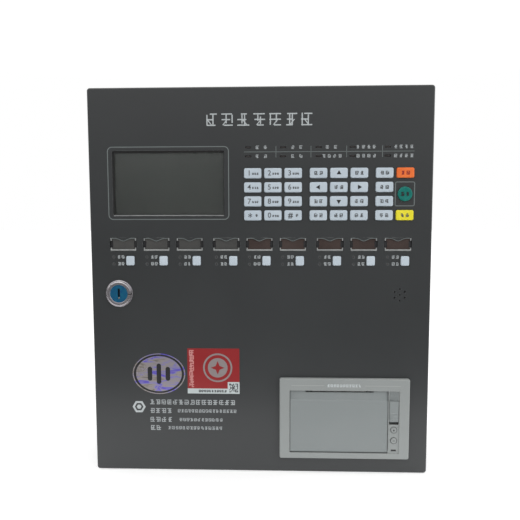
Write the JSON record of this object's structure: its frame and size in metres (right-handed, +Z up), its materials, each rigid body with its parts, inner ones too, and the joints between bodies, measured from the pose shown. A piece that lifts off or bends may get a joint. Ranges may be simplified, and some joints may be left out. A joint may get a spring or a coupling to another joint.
{
  "type": "fire alarm control panel",
  "caption": "Wall-mounted fire alarm control panel: steel cabinet, hinged door with display window, keypad, manual control keys, cam lock, sounder and micro printer.",
  "frame": {"origin": "centre of the four wall holes, on the back plane of the cabinet", "axes": "+X to the right as seen from the front, +Y into the wall, +Z up; the door faces -Y"},
  "size_m": [0.35, 0.1142, 0.4],
  "materials": {
    "cabinet_paint": "satin dark grey powder coat",
    "door_paint": "satin dark grey powder coat, fine orange peel",
    "hinge_steel": "zinc plated",
    "lock_nickel": "nickel plated, polished",
    "lock_blue": "blue anodised face",
    "cam_steel": "zinc plated",
    "display_lens": "smoky clear",
    "display_frame": "black, satin",
    "circuit_board": "green solder mask",
    "label_plastic": "smoky, half clear",
    "keypad_key": "pale blue white, satin",
    "manual_key": "pale blue white, satin",
    "key_orange": "orange, satin",
    "key_yellow": "yellow, satin",
    "key_green": "teal green, satin",
    "printer_plastic": "light grey, fine texture",
    "printer_door_plastic": "light grey, smoky",
    "thermal_paper": "smooth white paper",
    "supply_steel": "zinc plated sheet",
    "battery_case": "black moulded"
  },
  "bodies": {
    "cabinet": {"cabinet_box": "cabinet_paint", "hinge_cabinet_leaves": "hinge_steel", "main_board": "circuit_board", "power_supply": "supply_steel", "batteries": "battery_case"},
    "door": {"door_panel": "door_paint", "hinge_door_leaves": "hinge_steel", "lock_housing": "lock_nickel", "display_window": "display_lens", "display_module": "display_frame", "control_board": "circuit_board", "label_windows": "label_plastic", "printer_body": "printer_plastic"},
    "lock": {"lock_plug": "lock_blue", "lock_cam": "cam_steel"},
    "paper_door": {"printer_paper_door": "printer_door_plastic"},
    "latch": {"printer_latch": "printer_plastic"},
    "feed_key": {"printer_feed_key": "printer_plastic"},
    "select_key": {"printer_select_key": "printer_plastic"},
    "roll": {"paper_roll": "thermal_paper"},
    "key_orange": {"key_orange": "key_orange"},
    "key_green_round": {"key_green_round": "key_green"},
    "key_yellow": {"key_yellow": "key_yellow"},
    "key_enter": {"key_enter": "keypad_key"},
    "key_5": {"key_5": "keypad_key"},
    "manual_key_1": {"manual_key_1": "manual_key"},
    "key_0": {"key_0": "keypad_key"},
    "key_1": {"key_1": "keypad_key"},
    "key_2": {"key_2": "keypad_key"},
    "key_3": {"key_3": "keypad_key"},
    "key_4": {"key_4": "keypad_key"},
    "key_6": {"key_6": "keypad_key"},
    "key_7": {"key_7": "keypad_key"},
    "key_8": {"key_8": "keypad_key"},
    "key_9": {"key_9": "keypad_key"},
    "key_down": {"key_down": "keypad_key"},
    "key_function_1": {"key_function_1": "keypad_key"},
    "key_function_2": {"key_function_2": "keypad_key"},
    "key_function_3": {"key_function_3": "keypad_key"},
    "key_function_4": {"key_function_4": "keypad_key"},
    "key_hash": {"key_hash": "keypad_key"},
    "key_left": {"key_left": "keypad_key"},
    "key_menu_a": {"key_menu_a": "keypad_key"},
    "key_menu_b": {"key_menu_b": "keypad_key"},
    "key_menu_c": {"key_menu_c": "keypad_key"},
    "key_menu_d": {"key_menu_d": "keypad_key"},
    "key_menu_e": {"key_menu_e": "keypad_key"},
    "key_menu_f": {"key_menu_f": "keypad_key"},
    "key_menu_g": {"key_menu_g": "keypad_key"},
    "key_right": {"key_right": "keypad_key"},
    "key_star": {"key_star": "keypad_key"},
    "key_up": {"key_up": "keypad_key"},
    "manual_key_2": {"manual_key_2": "manual_key"},
    "manual_key_3": {"manual_key_3": "manual_key"},
    "manual_key_4": {"manual_key_4": "manual_key"},
    "manual_key_5": {"manual_key_5": "manual_key"},
    "manual_key_6": {"manual_key_6": "manual_key"},
    "manual_key_7": {"manual_key_7": "manual_key"},
    "manual_key_8": {"manual_key_8": "manual_key"},
    "manual_key_9": {"manual_key_9": "manual_key"}
  },
  "joints": [
    {"name": "door_hinge", "type": "hinge", "parent": "cabinet", "child": "door", "pos_m": [0.1715, -0.088, 0], "axis": [0, 0, 1], "range_deg": [0, 120]},
    {"name": "lock_turn", "type": "hinge", "parent": "door", "child": "lock", "pos_m": [-0.1464, -0.1, -0.01], "axis": [0, 1, 0], "range_deg": [0, 90]},
    {"name": "paper_door_hinge", "type": "hinge", "parent": "door", "child": "paper_door", "pos_m": [0.083, -0.1118, -0.1755], "axis": [1, 0, 0], "range_deg": [0, 90]},
    {"name": "latch_pivot", "type": "hinge", "parent": "door", "child": "latch", "pos_m": [0.1396, -0.112, -0.1231], "axis": [-1, 0, 0], "range_deg": [0, 25], "stiffness_Nm_per_rad": 0.02},
    {"name": "roll_spin", "type": "hinge", "parent": "door", "child": "roll", "pos_m": [0.083, -0.0845, -0.146], "axis": [1, 0, 0], "continuous": true},
    {"name": "feed_key_press", "type": "slide", "parent": "door", "child": "feed_key", "axis": [0, 1, 0], "range_m": [0, 0.001], "stiffness_N_per_m": 200},
    {"name": "select_key_press", "type": "slide", "parent": "door", "child": "select_key", "axis": [0, 1, 0], "range_m": [0, 0.001], "stiffness_N_per_m": 200},
    {"name": "key_orange_press", "type": "slide", "parent": "door", "child": "key_orange", "axis": [0, 1, 0], "range_m": [0, 0.0012], "stiffness_N_per_m": 300},
    {"name": "key_green_round_press", "type": "slide", "parent": "door", "child": "key_green_round", "axis": [0, 1, 0], "range_m": [0, 0.0012], "stiffness_N_per_m": 300},
    {"name": "key_yellow_press", "type": "slide", "parent": "door", "child": "key_yellow", "axis": [0, 1, 0], "range_m": [0, 0.0012], "stiffness_N_per_m": 300},
    {"name": "key_enter_press", "type": "slide", "parent": "door", "child": "key_enter", "axis": [0, 1, 0], "range_m": [0, 0.0012], "stiffness_N_per_m": 300},
    {"name": "key_5_press", "type": "slide", "parent": "door", "child": "key_5", "axis": [0, 1, 0], "range_m": [0, 0.0012], "stiffness_N_per_m": 300},
    {"name": "manual_key_1_press", "type": "slide", "parent": "door", "child": "manual_key_1", "axis": [0, 1, 0], "range_m": [0, 0.0012], "stiffness_N_per_m": 300},
    {"name": "key_0_press", "type": "slide", "parent": "door", "child": "key_0", "axis": [0, 1, 0], "range_m": [0, 0.0012], "stiffness_N_per_m": 300},
    {"name": "key_1_press", "type": "slide", "parent": "door", "child": "key_1", "axis": [0, 1, 0], "range_m": [0, 0.0012], "stiffness_N_per_m": 300},
    {"name": "key_2_press", "type": "slide", "parent": "door", "child": "key_2", "axis": [0, 1, 0], "range_m": [0, 0.0012], "stiffness_N_per_m": 300},
    {"name": "key_3_press", "type": "slide", "parent": "door", "child": "key_3", "axis": [0, 1, 0], "range_m": [0, 0.0012], "stiffness_N_per_m": 300},
    {"name": "key_4_press", "type": "slide", "parent": "door", "child": "key_4", "axis": [0, 1, 0], "range_m": [0, 0.0012], "stiffness_N_per_m": 300},
    {"name": "key_6_press", "type": "slide", "parent": "door", "child": "key_6", "axis": [0, 1, 0], "range_m": [0, 0.0012], "stiffness_N_per_m": 300},
    {"name": "key_7_press", "type": "slide", "parent": "door", "child": "key_7", "axis": [0, 1, 0], "range_m": [0, 0.0012], "stiffness_N_per_m": 300},
    {"name": "key_8_press", "type": "slide", "parent": "door", "child": "key_8", "axis": [0, 1, 0], "range_m": [0, 0.0012], "stiffness_N_per_m": 300},
    {"name": "key_9_press", "type": "slide", "parent": "door", "child": "key_9", "axis": [0, 1, 0], "range_m": [0, 0.0012], "stiffness_N_per_m": 300},
    {"name": "key_down_press", "type": "slide", "parent": "door", "child": "key_down", "axis": [0, 1, 0], "range_m": [0, 0.0012], "stiffness_N_per_m": 300},
    {"name": "key_function_1_press", "type": "slide", "parent": "door", "child": "key_function_1", "axis": [0, 1, 0], "range_m": [0, 0.0012], "stiffness_N_per_m": 300},
    {"name": "key_function_2_press", "type": "slide", "parent": "door", "child": "key_function_2", "axis": [0, 1, 0], "range_m": [0, 0.0012], "stiffness_N_per_m": 300},
    {"name": "key_function_3_press", "type": "slide", "parent": "door", "child": "key_function_3", "axis": [0, 1, 0], "range_m": [0, 0.0012], "stiffness_N_per_m": 300},
    {"name": "key_function_4_press", "type": "slide", "parent": "door", "child": "key_function_4", "axis": [0, 1, 0], "range_m": [0, 0.0012], "stiffness_N_per_m": 300},
    {"name": "key_hash_press", "type": "slide", "parent": "door", "child": "key_hash", "axis": [0, 1, 0], "range_m": [0, 0.0012], "stiffness_N_per_m": 300},
    {"name": "key_left_press", "type": "slide", "parent": "door", "child": "key_left", "axis": [0, 1, 0], "range_m": [0, 0.0012], "stiffness_N_per_m": 300},
    {"name": "key_menu_a_press", "type": "slide", "parent": "door", "child": "key_menu_a", "axis": [0, 1, 0], "range_m": [0, 0.0012], "stiffness_N_per_m": 300},
    {"name": "key_menu_b_press", "type": "slide", "parent": "door", "child": "key_menu_b", "axis": [0, 1, 0], "range_m": [0, 0.0012], "stiffness_N_per_m": 300},
    {"name": "key_menu_c_press", "type": "slide", "parent": "door", "child": "key_menu_c", "axis": [0, 1, 0], "range_m": [0, 0.0012], "stiffness_N_per_m": 300},
    {"name": "key_menu_d_press", "type": "slide", "parent": "door", "child": "key_menu_d", "axis": [0, 1, 0], "range_m": [0, 0.0012], "stiffness_N_per_m": 300},
    {"name": "key_menu_e_press", "type": "slide", "parent": "door", "child": "key_menu_e", "axis": [0, 1, 0], "range_m": [0, 0.0012], "stiffness_N_per_m": 300},
    {"name": "key_menu_f_press", "type": "slide", "parent": "door", "child": "key_menu_f", "axis": [0, 1, 0], "range_m": [0, 0.0012], "stiffness_N_per_m": 300},
    {"name": "key_menu_g_press", "type": "slide", "parent": "door", "child": "key_menu_g", "axis": [0, 1, 0], "range_m": [0, 0.0012], "stiffness_N_per_m": 300},
    {"name": "key_right_press", "type": "slide", "parent": "door", "child": "key_right", "axis": [0, 1, 0], "range_m": [0, 0.0012], "stiffness_N_per_m": 300},
    {"name": "key_star_press", "type": "slide", "parent": "door", "child": "key_star", "axis": [0, 1, 0], "range_m": [0, 0.0012], "stiffness_N_per_m": 300},
    {"name": "key_up_press", "type": "slide", "parent": "door", "child": "key_up", "axis": [0, 1, 0], "range_m": [0, 0.0012], "stiffness_N_per_m": 300},
    {"name": "manual_key_2_press", "type": "slide", "parent": "door", "child": "manual_key_2", "axis": [0, 1, 0], "range_m": [0, 0.0012], "stiffness_N_per_m": 300},
    {"name": "manual_key_3_press", "type": "slide", "parent": "door", "child": "manual_key_3", "axis": [0, 1, 0], "range_m": [0, 0.0012], "stiffness_N_per_m": 300},
    {"name": "manual_key_4_press", "type": "slide", "parent": "door", "child": "manual_key_4", "axis": [0, 1, 0], "range_m": [0, 0.0012], "stiffness_N_per_m": 300},
    {"name": "manual_key_5_press", "type": "slide", "parent": "door", "child": "manual_key_5", "axis": [0, 1, 0], "range_m": [0, 0.0012], "stiffness_N_per_m": 300},
    {"name": "manual_key_6_press", "type": "slide", "parent": "door", "child": "manual_key_6", "axis": [0, 1, 0], "range_m": [0, 0.0012], "stiffness_N_per_m": 300},
    {"name": "manual_key_7_press", "type": "slide", "parent": "door", "child": "manual_key_7", "axis": [0, 1, 0], "range_m": [0, 0.0012], "stiffness_N_per_m": 300},
    {"name": "manual_key_8_press", "type": "slide", "parent": "door", "child": "manual_key_8", "axis": [0, 1, 0], "range_m": [0, 0.0012], "stiffness_N_per_m": 300},
    {"name": "manual_key_9_press", "type": "slide", "parent": "door", "child": "manual_key_9", "axis": [0, 1, 0], "range_m": [0, 0.0012], "stiffness_N_per_m": 300}
  ]
}
